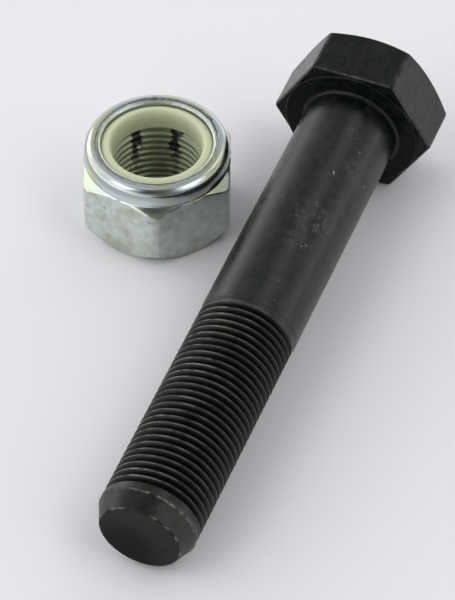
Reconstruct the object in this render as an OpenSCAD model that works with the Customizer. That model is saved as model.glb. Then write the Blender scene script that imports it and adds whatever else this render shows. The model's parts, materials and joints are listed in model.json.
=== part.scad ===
// Hex bolt with a lock nut, fine metric thread.
// The bolt lies on its side as it comes to rest, on the edge of its head and
// the end of its thread. The nut stands beside it on its bearing face. Its
// collar is rolled in over a ring of nylon that grips the thread.
// The origin is on the floor under the middle of the pair, +Z is up, and the
// bolt's tip points along -Y.

/* [Thread] */
// Nominal diameter of the thread, and the diameter of the plain shank
thread_d = 18; // [16:0.5:20]
// Distance from one crest to the next
pitch = 1.5; // [1:0.25:2]
// How far the bolt's crests lie inside the nominal radius
crest_relief = 0.1; // [0.05:0.05:0.2]

/* [Bolt] */
// Length from the head's bearing face to the tip
bolt_length = 100; // [80:1:120]
// Length of the thread and the tip together
thread_length = 48.7; // [30:0.1:60]
// Turns over which the groove of the thread comes up to the surface at each end
runout = 0.8; // [0.4:0.1:1.5]
// Angle round the bar at which the thread starts
thread_phase = 60; // [0:5:355]
// Length of the tapered tip that guides the nut on
tip_length = 3.4; // [2:0.1:6]
// Diameter of the flat end of the tip
tip_end_d = 15; // [13:0.1:15.8]
// Step from the thread's crests down to the tip's taper, on the radius
tip_step = 0.15; // [0.1:0.05:0.3]
// Rounding of the tip's end
tip_edge_r = 0.4; // [0.2:0.1:0.8]
// Rounding where the shank meets the head
neck_fillet = 0.5; // [0.3:0.1:0.8]

/* [Bolt head] */
// Width of the head across its flats
head_af = 26.8; // [26:0.1:28]
// How far the head's corners are rounded in from a sharp point, on the radius
head_corner_trim = 0.14; // [0.05:0.01:0.3]
// Height of the head with its bearing face
head_height = 11.2; // [10:0.1:13]
// Diameter of the bearing face
bearing_d = 25.9; // [25:0.1:26.3]
// How far the bearing face stands out of the head
bearing_height = 0.5; // [0.3:0.1:0.8]
// Diameter of the flat on top of the head
crown_d = 25.4; // [24:0.1:26]
// Slope of the bevel round the crown
bevel_angle = 30; // [20:1:35]
// Small bevel on the corners at the bearing side
under_bevel = 0.4; // [0.2:0.1:0.8]

/* [Nut] */
// Width of the nut across its flats
nut_af = 26.8; // [26.8:0.1:28]
// How far the nut's corners are rounded in from a sharp point, on the radius
nut_corner_trim = 0.3; // [0.1:0.02:0.4]
// Height of the nut with its collar
nut_height = 17.7; // [17:0.1:20]
// Height of the hexagon at its corners
nut_hex_height = 12.8; // [12:0.1:13.4]
// Slope of the shoulder from the hexagon's corners up to the collar
shoulder_angle = 36; // [20:1:40]
// Diameter of the bearing face that the nut stands on
nut_base_d = 25.9; // [25:0.1:26.2]
// Slope of the bevel from the bearing face up to the corners
nut_base_angle = 52; // [30:1:60]
// How far the countersink of the thread reaches outside the nominal radius
countersink = 0.35; // [0.2:0.05:0.6]
// Slope of the countersink at both ends of the thread
countersink_angle = 30; // [20:1:45]

/* [Collar and nylon ring] */
// Outer diameter of the collar
collar_d = 26.8; // [26:0.1:26.8]
// Wall of the collar round the nylon ring
collar_wall = 1.4; // [1.1:0.1:1.7]
// Opening left by the lip that is rolled in over the ring
lip_d = 20.7; // [20.2:0.1:21.2]
// Thickness of the lip
lip_height = 0.8; // [0.7:0.1:1.2]
// How far the lip lies below the top of the roll
lip_drop = 0.2; // [0.1:0.05:0.4]
// Rounding of the collar where it is rolled in
roll_r = 1.7; // [1.4:0.1:1.9]
// How far the roll lies inside the collar's side
roll_inset = 0.1; // [0.05:0.05:0.2]
// Lean of the collar's side where it runs into the roll
roll_lean = 8; // [6:1:15]
// Rounding of the lip's inner edge
lip_edge_r = 0.3; // [0.2:0.05:0.5]
// Height of the seat that the ring stands on
ring_seat = 13; // [12:0.1:14]
// How far the ring reaches inside the nominal radius
ring_grip = 0.8; // [0.5:0.05:0.8]
// How far the ring bulges up into the opening of the lip
ring_rise = 0.6; // [0.1:0.1:0.7]
// Rounding of the ring's mouth
ring_edge_r = 0.8; // [0.4:0.1:1]
// Clear space between the ring and the collar
ring_clearance = 0.1; // [0.05:0.05:0.2]

/* [Arrangement] */
// Clear space between the shank and the nearest corner of the nut
nut_gap = 6.1; // [3:0.1:20]
// How far the nut stands behind the head's bearing face
nut_set_back = 5.4; // [2:0.1:20]
// Turn of the nut about its own axis
nut_turn = -8.6; // [-30:0.1:30]

/* [Hidden] */
$fn = 96;

black_oxide = "#2c2e2d";
zinc = "#b7bdb9";
nylon = "#d3d6ab";

// A hexagon's corners, and its flats between them
corners = 6;
corner_step = 360 / corners;
half_step = corner_step / 2;

shank_r = thread_d / 2;
crest_r = shank_r - crest_relief;
// The basic profile, whose flanks stand 30 degrees off square, sets the nut's
// minor diameter
flank_angle = 30;
minor_share = 5 / 8;
minor_r = shank_r - minor_share * pitch * cos(flank_angle);
thread_start = bolt_length - thread_length;
thread_end = bolt_length - tip_length;
tip_start_r = crest_r - tip_step;

// The bolt's thread is a mesh of rows that wind round the bar, each rising one
// pitch a turn. Rows 0 and 1 of every pitch bound the crest, rows 2 and 3 the
// root, and each stands at its share of the pitch.
facets = 36;
rows = 4;
plain_end = 0.1;
profile_depth = 0.6134 * pitch;
groove_depth = profile_depth - crest_relief;
flank = profile_depth * tan(flank_angle) / pitch;
crest_land = 1 / 8;
row_share = [0, crest_land, crest_land + flank, 1 - flank];

head_corner_r = head_af / 2 / cos(half_step) - head_corner_trim;
nut_corner_r = nut_af / 2 / cos(half_step) - nut_corner_trim;
collar_r = collar_d / 2;
roll_bite = 0.05;
pocket_r = collar_r - collar_wall;
lip_r = lip_d / 2;
lip_top = nut_height - lip_drop;
lip_bottom = lip_top - lip_height;
ring_top = lip_bottom - ring_clearance;
ring_bore_r = shank_r - ring_grip;
mouth_r = shank_r + countersink;

// The bolt rests on the lower edge of one flat and on the last crest
tilt = atan((head_af / 2 - crest_r) / (thread_end + bearing_height));
bolt_lift = head_af / 2 * cos(tilt) - bearing_height * sin(tilt);
nut_x = -(shank_r + nut_gap + nut_corner_r);
nut_y = -(nut_set_back + nut_corner_r);

// Reach of a trimmed hexagon in a direction that is off degrees from a corner
function hex_reach(af, corner_r, off) =
    corner_r * cos(max(0, off - half_step + acos(af / 2 / corner_r)));

// The box round the pair, which the origin is centred under
nut_off = abs((180 - nut_turn + half_step) % corner_step - half_step);
left_x = nut_x - hex_reach(nut_af, nut_corner_r, nut_off);
right_x = head_corner_r;
tip_y = -(bolt_length - tip_edge_r) * cos(tilt) - (tip_end_d / 2 - tip_edge_r) * sin(tilt) - tip_edge_r;
head_y = head_height * cos(tilt) + crown_d / 2 * sin(tilt);
middle = [(left_x + right_x) / 2, (tip_y + head_y) / 2, 0];

// A hexagonal bar along Z with a corner towards +X
module hex_bar(af, height) {
    cylinder(h = height, d = af / cos(half_step), $fn = corners);
}

// The bolt stands on its bearing face, tip up, and is laid down here
module lay_bolt_down() {
    translate([0, 0, bolt_lift] - middle)
        rotate([90 + tilt, 0, 0])
            children();
}

module stand_nut() {
    translate([nut_x, nut_y, 0] - middle)
        rotate([0, 0, nut_turn])
            children();
}

// Hexagon with its crown bevelled, its corners trimmed and a round bearing face
module head() {
    under = head_height - bearing_height;
    crown_r = crown_d / 2;
    shoulder = head_height - (head_corner_r - crown_r) * tan(bevel_angle);
    rotate([180, 0, 0]) {
        intersection() {
            translate([0, 0, bearing_height])
                hex_bar(head_af, under);
            rotate_extrude()
                polygon([
                    [0, bearing_height],
                    [head_corner_r - under_bevel, bearing_height],
                    [head_corner_r, bearing_height + under_bevel],
                    [head_corner_r, shoulder],
                    [crown_r, head_height],
                    [0, head_height],
                ]);
        }
        cylinder(h = head_height / 2, d = bearing_d);
    }
}

// Concave ring that blends the shank into the bearing face
module neck() {
    rotate_extrude()
        difference() {
            square([shank_r + neck_fillet, neck_fillet]);
            translate([shank_r + neck_fillet, neck_fillet])
                circle(r = neck_fillet);
        }
}

module shank() {
    cylinder(h = thread_start, r = shank_r);
}

// A point of the thread's mesh. The groove starts at no depth on the first turn
// and comes back to none on the last, counted in turns along the helix.
function thread_point(row, i, foot, turns) =
    let (
        side = row % rows,
        turn = floor(row / rows) + i / facets,
        fade = max(0, min(1, turn / runout, (turns - turn) / runout)),
        r = crest_r - (side < 2 ? 0 : groove_depth * fade),
        angle = thread_phase + 360 * i / facets,
        z = foot + pitch * (turn + row_share[side])
    )
    [r * cos(angle), r * sin(angle), z];

function thread_ring(z) = [
    for (i = [0:facets - 1])
        let (angle = thread_phase + 360 * i / facets)
            [crest_r * cos(angle), crest_r * sin(angle), z],
];

// Bar with the helix of the thread round it, closed by a plain ring at each end.
// The last point of a row is the first of the row one pitch further on, so a
// tail of single points ends the mesh.
module threaded_part() {
    height = thread_end - thread_start;
    turns = floor((height - 2 * plain_end) / pitch) - 1;
    foot = height - plain_end - pitch * (turns + 1);
    last = rows * turns;
    helix = [for (row = [0:last], i = [0:facets - 1]) thread_point(row, i, foot, turns)];
    tail = [for (row = [last + 1:last + rows]) thread_point(row, 0, foot, turns)];
    top = facets + len(helix) + rows;

    function id(row, i) =
        i == facets ? id(row + rows, 0)
        : row > last ? facets + len(helix) + row - last - 1
        : facets * (row + 1) + i;
    function top_id(i) = top + i % facets;

    between_rows = [
        for (row = [0:last - 1], i = [0:facets - 1])
            each [
                [id(row, i), id(row + 1, i), id(row + 1, i + 1)],
                [id(row, i), id(row + 1, i + 1), id(row, i + 1)],
            ],
    ];
    // Both ends meet the helix along one turn, and fan out over its first step
    below = [
        for (i = [0:facets - 2])
            each [[i, id(0, i), id(0, i + 1)], [i, id(0, i + 1), i + 1]],
        [facets - 1, id(0, facets - 1), 0],
        [0, id(0, facets - 1), id(0, 0)],
        for (row = [0:rows - 1])
            [id(row, 0), id(0, facets - 1), id(row + 1, 0)],
    ];
    above = [
        for (i = [1:facets - 1])
            each [
                [id(last, i), top_id(i), top_id(i + 1)],
                [id(last, i), top_id(i + 1), id(last, i + 1)],
            ],
        [top_id(0), top_id(1), id(last, 1)],
        [id(last + rows, 0), top_id(0), id(last, 1)],
        for (row = [0:rows - 1])
            [id(last + row, 0), id(last + row + 1, 0), id(last, 1)],
    ];
    ends = [
        [for (i = [0:facets - 1]) i],
        [for (i = [facets - 1:-1:0]) top + i],
    ];
    translate([0, 0, thread_start])
        polyhedron(
            points = concat(thread_ring(0), helix, tail, thread_ring(height)),
            faces = concat(between_rows, below, above, ends)
        );
}

// Tapered pilot with a rounded end
module tip() {
    end_r = tip_end_d / 2;
    taper_end = bolt_length - tip_edge_r;
    flat_r = end_r - tip_edge_r;
    rotate_extrude() {
        polygon([
            [0, thread_end],
            [tip_start_r, thread_end],
            [end_r, taper_end],
            [flat_r, taper_end],
            [flat_r, bolt_length],
            [0, bolt_length],
        ]);
        translate([flat_r, taper_end])
            circle(r = tip_edge_r);
    }
}

module hex_bolt() {
    color(black_oxide)
        lay_bolt_down() {
            head();
            neck();
            shank();
            threaded_part();
            tip();
        }
}

// What is cut from a section to round its upper inner corner at [x, y]
module mouth_corner(x, y, r) {
    difference() {
        translate([x - 1, y - r])
            square([1 + r, 1 + r]);
        translate([x + r, y - r])
            circle(r = r);
    }
}

// Half section of the nut outside its bore: bearing face, hexagon, shoulder,
// and the collar with its rolled edge, inside which the lip lies a little lower.
// The collar's side leans in and ends just under the roll's surface.
module nut_outline() {
    base_r = nut_base_d / 2;
    corner_foot = (nut_corner_r - base_r) * tan(nut_base_angle);
    collar_foot = nut_hex_height + (nut_corner_r - collar_r) * tan(shoulder_angle);
    roll_x = collar_r - roll_inset - roll_r;
    roll_z = nut_height - roll_r;
    inside = roll_r - roll_bite;
    side_top = roll_z - ((roll_r + roll_inset) * cos(roll_lean) - inside) / sin(roll_lean);
    polygon([
        [0, 0],
        [base_r, 0],
        [nut_corner_r, corner_foot],
        [nut_corner_r, nut_hex_height],
        [collar_r, collar_foot],
        [collar_r, side_top],
        [roll_x + inside * cos(roll_lean), roll_z + inside * sin(roll_lean)],
        [roll_x, roll_z],
        [roll_x, lip_top],
        [0, lip_top],
    ]);
    translate([roll_x, roll_z])
        circle(r = roll_r);
}

// Half section of everything that is hollow: countersink, thread bore, the
// pocket of the nylon ring and the opening of the lip
module nut_hollow() {
    entry = (mouth_r - minor_r) * tan(countersink_angle);
    polygon([
        [0, -1],
        [mouth_r, -1],
        [mouth_r, 0],
        [minor_r, entry],
        [minor_r, ring_seat - entry],
        [mouth_r, ring_seat],
        [pocket_r, ring_seat],
        [pocket_r, lip_bottom],
        [lip_r, lip_bottom],
        [lip_r, nut_height + 1],
        [0, nut_height + 1],
    ]);
    mouth_corner(lip_r, lip_top, lip_edge_r);
}

module nut_body() {
    color(zinc)
        stand_nut()
            difference() {
                intersection() {
                    hex_bar(nut_af, nut_height);
                    rotate_extrude()
                        nut_outline();
                }
                rotate_extrude()
                    nut_hollow();
            }
}

// Ring of nylon held in the collar. Its middle bulges up into the opening of
// the lip, with a rounded mouth.
module nylon_ring() {
    outer_r = pocket_r - ring_clearance;
    bulge_r = lip_r - ring_clearance;
    bulge_top = ring_top + ring_rise;
    color(nylon)
        stand_nut()
            rotate_extrude()
                difference() {
                    polygon([
                        [ring_bore_r, ring_seat],
                        [outer_r, ring_seat],
                        [outer_r, ring_top],
                        [bulge_r, ring_top],
                        [bulge_r, bulge_top],
                        [ring_bore_r, bulge_top],
                    ]);
                    mouth_corner(ring_bore_r, bulge_top, ring_edge_r);
                }
}

hex_bolt();
nut_body();
nylon_ring();
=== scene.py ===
"""Looks of a hex bolt and its nylon insert lock nut: meshes, finishes, light and camera.

Each piece is modelled on the bench in millimetres, in its own frame: the bolt
stands on its bearing face with its tip up, and the nut on its bearing face. It
is then placed in the row frame, in metres.
"""

import json
import logging
import math
from collections.abc import Callable, Iterator
from contextlib import contextmanager
from dataclasses import dataclass, field
from enum import Enum

import bpy
from mathutils import Matrix, Vector


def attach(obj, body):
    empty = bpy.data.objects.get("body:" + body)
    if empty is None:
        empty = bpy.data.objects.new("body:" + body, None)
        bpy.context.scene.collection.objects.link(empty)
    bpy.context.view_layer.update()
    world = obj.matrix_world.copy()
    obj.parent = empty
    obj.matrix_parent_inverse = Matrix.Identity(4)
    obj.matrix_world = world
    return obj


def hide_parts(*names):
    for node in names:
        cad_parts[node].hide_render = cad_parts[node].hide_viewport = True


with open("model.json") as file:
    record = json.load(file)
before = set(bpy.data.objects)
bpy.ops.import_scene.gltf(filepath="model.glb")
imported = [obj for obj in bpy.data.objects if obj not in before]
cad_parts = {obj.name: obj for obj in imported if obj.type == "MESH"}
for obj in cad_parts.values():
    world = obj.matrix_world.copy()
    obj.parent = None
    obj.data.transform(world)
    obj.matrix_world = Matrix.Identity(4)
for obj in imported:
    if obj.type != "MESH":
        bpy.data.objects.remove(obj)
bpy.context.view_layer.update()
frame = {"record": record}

# Lengths are in millimetres and angles in degrees. MM is one millimetre in the scene's metres.
MM = 0.001
SHANK_R = 9.0
CUTTER_REACH = 0.3
CUTTER_OVERSHOOT = 1.0
SMOOTH_ANGLE = 28
CORNER_SEGMENTS = 5
SPOT_CORE = 0.4
MARK_CORE = 0.3
LOG = logging.getLogger("bolt_and_nut")

Station = tuple[float, float]
Colour = tuple[float, float, float]
Point = tuple[float, float, float]
Trio = tuple[float, float, float]


class Combine(Enum):
    """How one solid is combined with another."""

    JOIN = "UNION"
    CUT = "DIFFERENCE"
    KEEP_COMMON = "INTERSECT"


class Picked(Enum):
    """What the bench works on in edit mode."""

    POINTS = "VERT"
    EDGES = "EDGE"
    FACES = "FACE"


def arc(centre: Station, radius: float, start: float, end: float, steps: int) -> list[Station]:
    """Points of a profile's round stretch, by angles in degrees from outwards towards up."""
    angles = (math.radians(start + (end - start) * i / steps) for i in range(steps + 1))
    return [(centre[0] + radius * math.cos(a), centre[1] + radius * math.sin(a)) for a in angles]


class Shape:
    """A mesh on the bench, in millimetres, worked on by Blender's operators."""

    def __init__(self, name: str) -> None:
        """Takes the object that an operator has just added, and names it."""
        self.obj = bpy.context.object
        self.obj.name = name

    @staticmethod
    def clear_bench() -> None:
        """Deselects everything, so that an operator acts on the new shape alone."""
        bpy.ops.object.select_all(action="DESELECT")

    @classmethod
    def turned(cls, name: str, profile: list[Station], sides: int, ring: bool = False) -> "Shape":
        """Turns a profile round Z, as on a lathe.

        Args:
            name: What the shape is called.
            profile: Radius and height of each station.
            sides: Number of faces round the axis.
            ring: Whether the profile closes on itself round an open middle.

        Returns:
            The closed shape.
        """
        cls.clear_bench()
        (radius, height), *others = profile
        fill = "NOTHING" if ring else "NGON"
        bpy.ops.mesh.primitive_circle_add(
            vertices=sides, radius=radius, fill_type=fill, location=(0, 0, height)
        )
        bpy.ops.object.transform_apply(location=True, rotation=False, scale=False)
        shape = cls(name)
        with shape.edited(Picked.EDGES if ring else Picked.FACES):
            bpy.ops.mesh.select_all(action="SELECT")
            shape.draw_on(profile[0], others + ([profile[0]] if ring else []))
            shape.face_outwards(merge=1e-4)
        return shape

    @classmethod
    def hexagon(cls, name: str, across: float, low: float, high: float, corner_r: float) -> "Shape":
        """Makes a hexagonal bar with rounded corners, one of them towards +X.

        Args:
            name: What the shape is called.
            across: Width across the flats.
            low: Height of its lower end.
            high: Height of its upper end.
            corner_r: Rounding of the six corners.

        Returns:
            The closed bar.
        """
        cls.clear_bench()
        bpy.ops.mesh.primitive_cylinder_add(
            vertices=6,
            radius=across / math.sqrt(3),
            depth=high - low,
            location=(0, 0, (low + high) / 2),
            rotation=(0, 0, math.radians(30)),
        )
        bpy.ops.object.transform_apply(location=True, rotation=True, scale=False)
        bar = cls(name)
        bar.pick_edges(lambda a, b: abs(a.z - b.z) > (high - low) / 2)
        with bar.edited(Picked.EDGES):
            bpy.ops.mesh.bevel(
                offset=corner_r * math.tan(math.radians(30)), segments=CORNER_SEGMENTS, affect="EDGES"
            )
        return bar

    @classmethod
    def traced(cls, name: str, points: list[Station]) -> "Shape":
        """Draws a chain of edges in the XZ plane by extruding one point.

        Args:
            name: What the shape is called.
            points: Radius and height of each point.

        Returns:
            The open chain.
        """
        cls.clear_bench()
        bpy.ops.mesh.primitive_plane_add(size=1, location=(0, 0, 0))
        chain = cls(name)
        with chain.edited(Picked.POINTS):
            bpy.ops.mesh.select_all(action="SELECT")
            bpy.ops.mesh.merge(type="CENTER")
            (x, z), *others = points
            bpy.ops.transform.translate(value=(x, 0, z))
            for to_x, to_z in others:
                step = {"value": (to_x - x, 0, to_z - z)}
                bpy.ops.mesh.extrude_region_move(TRANSFORM_OT_translate=step)
                x, z = to_x, to_z
        return chain

    @contextmanager
    def edited(self, picked: Picked) -> Iterator[None]:
        """Opens the shape in edit mode.

        Args:
            picked: What is selected and worked on.

        Returns:
            A context, at whose end the shape goes back to object mode.
        """
        self.take()
        bpy.ops.object.mode_set(mode="EDIT")
        bpy.ops.mesh.select_mode(type=picked.value)
        yield
        bpy.ops.object.mode_set(mode="OBJECT")

    @staticmethod
    def face_outwards(merge: float = 0) -> None:
        """In edit mode, merges points that lie close together and turns all faces outwards.

        Args:
            merge: Distance up to which points are merged, or 0 to leave them.
        """
        bpy.ops.mesh.select_all(action="SELECT")
        if merge:
            bpy.ops.mesh.remove_doubles(threshold=merge)
        bpy.ops.mesh.normals_make_consistent(inside=False)

    def take(self) -> None:
        """Makes this the one shape that operators act on."""
        self.clear_bench()
        self.obj.select_set(True)
        bpy.context.view_layer.objects.active = self.obj

    def pick_edges(self, test: Callable[[Vector, Vector], bool]) -> None:
        """Selects edges by the places of their ends.

        Args:
            test: Says of two ends whether their edge is wanted.
        """
        mesh = self.obj.data
        for group in (mesh.vertices, mesh.edges, mesh.polygons):
            group.foreach_set("select", [False] * len(group))
        for edge in mesh.edges:
            start, end = (mesh.vertices[i].co for i in edge.vertices)
            edge.select = test(start, end)

    def draw_on(self, last: Station, stations: list[Station]) -> None:
        """Extrudes the selected round edge or face through more stations.

        Args:
            last: Radius and height where it is now.
            stations: Radius and height of each next station.
        """
        radius, height = last
        for to_radius, to_height in stations:
            rise = {"value": (0, 0, to_height - height)}
            bpy.ops.mesh.extrude_region_move(TRANSFORM_OT_translate=rise)
            if abs(to_radius - radius) > 1e-6:
                grow = to_radius / radius
                centre = (0, 0, to_height)
                bpy.ops.transform.resize(value=(grow, grow, 1), center_override=centre)
            radius, height = to_radius, to_height

    def cut_level(self, height: float, keep_above: bool) -> None:
        """Cuts the shape level in edit mode and leaves the cut's edge selected.

        Args:
            height: Height of the cut.
            keep_above: Whether the upper part is kept, or the lower one.
        """
        bpy.ops.mesh.select_all(action="SELECT")
        bpy.ops.mesh.bisect(
            plane_co=(0, 0, height),
            plane_no=(0, 0, 1),
            clear_inner=keep_above,
            clear_outer=not keep_above,
            threshold=1e-4,
        )

    def combine(self, tool: "Shape", how: Combine) -> None:
        """Combines this solid with another, which is used up.

        Args:
            tool: The other solid.
            how: The way they are combined.
        """
        settings = {"operation": how.value, "solver": "MANIFOLD", "object": tool.obj}
        self.apply("BOOLEAN", settings)
        bpy.data.objects.remove(tool.obj)

    def apply(self, kind: str, settings: dict[str, object]) -> None:
        """Puts a modifier on the shape and applies it.

        Args:
            kind: Type of the modifier.
            settings: Its settings by name.
        """
        self.take()
        modifier = self.obj.modifiers.new(kind.lower(), kind)
        for name, value in settings.items():
            setattr(modifier, name, value)
        bpy.ops.object.modifier_apply(modifier=modifier.name)

    def ease_edges(self, width: float, sharper_than: float = 24) -> None:
        """Rounds every edge that is sharper than an angle.

        Args:
            width: Width of the rounding on each side of the edge.
            sharper_than: Least angle between the faces, in degrees.
        """
        settings = {
            "width": width,
            "segments": 3,
            "limit_method": "ANGLE",
            "angle_limit": math.radians(sharper_than),
            "use_clamp_overlap": False,
        }
        self.apply("BEVEL", settings)

    def placed(self, place: Matrix, finish: bpy.types.Material, node: str, slot: str) -> None:
        """Shades the shape, places it in the row frame, and says what it stands for.

        Args:
            place: From the piece's own frame, in metres, to the row frame.
            finish: Material of the piece.
            node: The CAD node that it replaces.
            slot: The record's material slot; it is not used.
        """
        self.take()
        bpy.ops.object.shade_smooth_by_angle(angle=math.radians(SMOOTH_ANGLE))
        self.apply("WEIGHTED_NORMAL", {"keep_sharp": True, "weight": 60})
        mesh = self.obj.data
        mesh.transform(place @ Matrix.Scale(MM, 4))
        mesh.materials.clear()
        mesh.materials.append(finish)
        mesh.update()
        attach(self.obj, "root")
        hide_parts(node)
        LOG.info("%s stands for %s: %d faces", self.obj.name, node, len(mesh.polygons))


class Num:
    """A number on a node's socket. Arithmetic on it adds Math nodes."""

    def __init__(self, sheet: "Sheet", socket: bpy.types.NodeSocket) -> None:
        """Wraps a socket of a sheet."""
        self.sheet = sheet
        self.socket = socket

    def __add__(self, other: "Feed") -> "Num":
        """Adds."""
        return self.sheet.maths("ADD", self, other)

    def __sub__(self, other: "Feed") -> "Num":
        """Takes other away from this."""
        return self.sheet.maths("SUBTRACT", self, other)

    def __rsub__(self, other: "Feed") -> "Num":
        """Takes this away from other."""
        return self.sheet.maths("SUBTRACT", other, self)

    def __mul__(self, other: "Feed") -> "Num":
        """Multiplies."""
        return self.sheet.maths("MULTIPLY", self, other)

    def __truediv__(self, other: "Feed") -> "Num":
        """Divides by other."""
        return self.sheet.maths("DIVIDE", self, other)

    def __pow__(self, other: "Feed") -> "Num":
        """Raises to a power."""
        return self.sheet.maths("POWER", self, other)

    def __abs__(self) -> "Num":
        """Drops the sign."""
        return self.sheet.maths("ABSOLUTE", self)

    __radd__ = __add__
    __rmul__ = __mul__

    def most(self, other: "Feed") -> "Num":
        """The larger of the two."""
        return self.sheet.maths("MAXIMUM", self, other)

    def least(self, other: "Feed") -> "Num":
        """The smaller of the two."""
        return self.sheet.maths("MINIMUM", self, other)

    def step(self, low: float, high: float) -> "Num":
        """A soft step over this number.

        Args:
            low: Where the step is 0.
            high: Where it is 1, which may be less than low.

        Returns:
            The step, from 0 to 1.
        """
        feeds = {"Value": self, "From Min": low, "From Max": high}
        node = self.sheet.node("ShaderNodeMapRange", {"interpolation_type": "SMOOTHSTEP"}, feeds)
        return Num(self.sheet, node.outputs["Result"])

    def near(self, place: float, reach: float) -> "Num":
        """A soft peak of 1 where this number is at a place, and 0 past its reach."""
        return abs(self - place).step(reach, 0)


Feed = float | Colour | Num | bpy.types.NodeSocket


class Sheet:
    """The node tree of a material or of the world."""

    def __init__(self, owner: bpy.types.Material | bpy.types.World) -> None:
        """Empties the owner's tree.

        Args:
            owner: What the nodes shade.
        """
        owner.use_nodes = True
        self.tree = owner.node_tree
        self.tree.nodes.clear()

    def node(
        self, kind: str, settings: dict[str, object] | None = None, feeds: dict[str, Feed] | None = None
    ) -> bpy.types.Node:
        """Adds a node.

        Args:
            kind: The node's type.
            settings: Its settings, set before its sockets.
            feeds: Values or links of its sockets, by identifier or name.

        Returns:
            The node.
        """
        node = self.tree.nodes.new(kind)
        for name, value in (settings or {}).items():
            setattr(node, name, value)
        by_name = {s.name: s for s in reversed(node.inputs)}
        by_name.update({s.identifier: s for s in node.inputs})
        for name, value in (feeds or {}).items():
            self.feed(by_name[name], value)
        return node

    def feed(self, socket: bpy.types.NodeSocket, value: Feed) -> None:
        """Sets a socket's value, or links it.

        Args:
            socket: The input.
            value: A number, a colour, or what it is linked to.
        """
        if isinstance(value, Num):
            self.tree.links.new(value.socket, socket)
        elif isinstance(value, bpy.types.NodeSocket):
            self.tree.links.new(value, socket)
        elif socket.type == "RGBA" and len(value) == 3:
            socket.default_value = (*value, 1)
        else:
            socket.default_value = value

    def maths(self, operation: str, *terms: Feed) -> Num:
        """Adds a Math node.

        Args:
            operation: What it does.
            terms: Its one, two or three numbers.

        Returns:
            The result.
        """
        names = ("Value", "Value_001", "Value_002")
        node = self.node("ShaderNodeMath", {"operation": operation}, dict(zip(names, terms)))
        return Num(self, node.outputs[0])

    def curve(self, value: Num, stops: list[Station]) -> Num:
        """A number that follows straight stretches between stops.

        Args:
            value: What it depends on, from 0 to 1.
            stops: Values and results, the first at 0 and the last at 1.

        Returns:
            The result.
        """
        node = self.node("ShaderNodeFloatCurve", {}, {"Value": value})
        points = node.mapping.curves[0].points
        for at, level in stops[1:-1]:
            points.new(at, level)
        for point, (at, level) in zip(points, stops):
            point.location = (at, level)
            point.handle_type = "VECTOR"
        node.mapping.update()
        return Num(self, node.outputs[0])

    def mix(self, share: Feed, first: Feed, second: Feed, blend: str = "MIX") -> bpy.types.NodeSocket:
        """Mixes two colours.

        Args:
            share: Share of the second.
            first: Colour at 0.
            second: Colour at 1.
            blend: Way of mixing.

        Returns:
            The mixed colour.
        """
        settings = {"data_type": "RGBA", "blend_type": blend}
        feeds = {"Factor_Float": share, "A_Color": first, "B_Color": second}
        outputs = self.node("ShaderNodeMix", settings, feeds).outputs
        return next(s for s in outputs if s.identifier == "Result_Color")

    def layered(self, ground: Feed, *layers: tuple[Num, Feed]) -> bpy.types.NodeSocket:
        """Lays colours over one another.

        Args:
            ground: The lowest colour.
            layers: Share and colour of each layer above it.

        Returns:
            The colour on top.
        """
        for share, colour in layers:
            ground = self.mix(share, ground, colour)
        return ground

    def own_place(self, place: Matrix) -> bpy.types.NodeSocket:
        """The point in a piece's own frame, in millimetres.

        Args:
            place: From the piece's own frame to the row frame, in metres.

        Returns:
            The point as a vector.
        """
        back = place.inverted()
        coordinates = self.node("ShaderNodeTexCoord").outputs["Object"]
        feeds = {
            "Vector": coordinates,
            "Location": tuple(back.translation / MM),
            "Rotation": tuple(back.to_euler()),
            "Scale": (1 / MM,) * 3,
        }
        return self.node("ShaderNodeMapping", {"vector_type": "POINT"}, feeds).outputs["Vector"]

    def split(self, vector: bpy.types.NodeSocket) -> tuple[Num, Num, Num]:
        """The three coordinates of a vector as numbers."""
        node = self.node("ShaderNodeSeparateXYZ", feeds={"Vector": vector})
        return tuple(Num(self, s) for s in node.outputs)

    def join(self, x: Feed, y: Feed, z: Feed) -> bpy.types.NodeSocket:
        """A vector of three numbers."""
        return self.node("ShaderNodeCombineXYZ", feeds={"X": x, "Y": y, "Z": z}).outputs[0]

    def along(self, vector: bpy.types.NodeSocket, axis: Point | Vector) -> Num:
        """How far a vector reaches along an axis."""
        return self.measured("DOT_PRODUCT", vector, axis)

    def distance(self, vector: bpy.types.NodeSocket, place: Point) -> Num:
        """How far a point is from a place, in the point's own unit."""
        return self.measured("DISTANCE", vector, place)

    def measured(self, operation: str, vector: bpy.types.NodeSocket, other: Point | Vector) -> Num:
        """Adds a Vector Math node.

        Args:
            operation: What it does.
            vector: The first vector.
            other: The second one, which is fixed.

        Returns:
            The number that it gives.
        """
        node = self.node("ShaderNodeVectorMath", {"operation": operation}, {"Vector": vector})
        node.inputs[1].default_value = tuple(other)
        return Num(self, node.outputs["Value"])

    def noise(self, vector: bpy.types.NodeSocket, size: float, detail: float = 2) -> Num:
        """A cloudy number from 0 to 1, with clouds of a size in millimetres and finer layers."""
        feeds = {"Vector": vector, "Scale": 1 / size, "Detail": detail}
        return Num(self, self.node("ShaderNodeTexNoise", {}, feeds).outputs["Fac"])

    def spots(self, vector: bpy.types.NodeSocket, spacing: float, radius: float, share: float) -> Num:
        """Small scattered spots.

        Args:
            vector: Where they are read, in millimetres.
            spacing: Mean distance between places that may hold a spot.
            radius: Radius of a spot in millimetres.
            share: Share of the places that hold one.

        Returns:
            1 on a spot, 0 elsewhere.
        """
        feeds = {"Vector": vector, "Scale": 1 / spacing}
        cells = self.node("ShaderNodeTexVoronoi", {"feature": "F1"}, feeds)
        chosen = self.split(cells.outputs["Color"])[0]
        size = radius / spacing
        near = Num(self, cells.outputs["Distance"]).step(size, size * SPOT_CORE)
        return near * chosen.step(1 - share, 1 - share * 0.7)

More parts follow.
